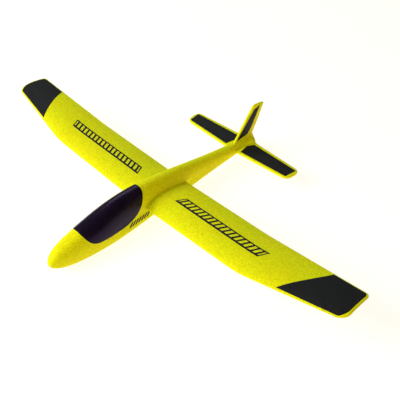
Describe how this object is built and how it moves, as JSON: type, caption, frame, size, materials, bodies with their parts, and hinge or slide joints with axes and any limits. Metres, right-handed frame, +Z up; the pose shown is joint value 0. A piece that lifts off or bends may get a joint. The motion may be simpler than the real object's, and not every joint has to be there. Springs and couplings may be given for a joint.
{
  "type": "foam hand-launch glider",
  "caption": "Hand-launched free-flight foam glider with plug-in wings, a slide-in tailplane, a bonded swept fin and a dark moulded canopy.",
  "frame": {"origin": "under the middle of the glider's bounding box, level with the flat of the belly", "axes": "-Y towards the nose, +X towards the glider's left wing tip, +Z up"},
  "size_m": [0.85, 0.5265, 0.1103],
  "materials": {
    "foam": "moulded bead foam, faintly pebbled, satin skin",
    "film": "satin black adhesive film",
    "canopy_plastic": "glossy, nearly black with a violet cast",
    "carbon": "ground carbon fibre",
    "glass_fibre": "ground glass fibre",
    "sleeve_plastic": "natural nylon",
    "ballast_steel": "turned"
  },
  "bodies": {
    "airframe": {"fuselage_left": "foam", "fuselage_right": "foam", "tail_fin": "foam", "fin_panel_left": "film", "fin_panel_right": "film", "side_mark_left": "film", "side_mark_right": "film", "wing_joiner": "carbon", "nose_ballast": "ballast_steel", "boom_rod": "glass_fibre", "fuselage_sleeve_left": "sleeve_plastic", "fuselage_sleeve_right": "sleeve_plastic"},
    "left_panel": {"wing_left": "foam", "wing_sleeve_left": "sleeve_plastic", "wing_pin_left": "glass_fibre", "wing_spar_left": "carbon", "tip_panel_left": "film", "wing_graphic_left": "film"},
    "right_panel": {"wing_right": "foam", "wing_sleeve_right": "sleeve_plastic", "wing_pin_right": "glass_fibre", "wing_spar_right": "carbon", "tip_panel_right": "film", "wing_graphic_right": "film"},
    "tail": {"tailplane": "foam", "tail_panel_left": "film", "tail_panel_right": "film"},
    "cover": {"canopy": "canopy_plastic"}
  },
  "joints": [
    {"name": "wing_left_slide", "type": "slide", "parent": "airframe", "child": "left_panel", "axis": [0.998, 0, 0.0637], "range_m": [0, 0.07]},
    {"name": "wing_right_slide", "type": "slide", "parent": "airframe", "child": "right_panel", "axis": [-0.998, 0, 0.0637], "range_m": [0, 0.07]},
    {"name": "tailplane_slide", "type": "slide", "parent": "airframe", "child": "tail", "axis": [0, 1, 0], "range_m": [0, 0.07]},
    {"name": "canopy_lift", "type": "slide", "parent": "airframe", "child": "cover", "axis": [0, 0, 1], "range_m": [0, 0.05]}
  ]
}
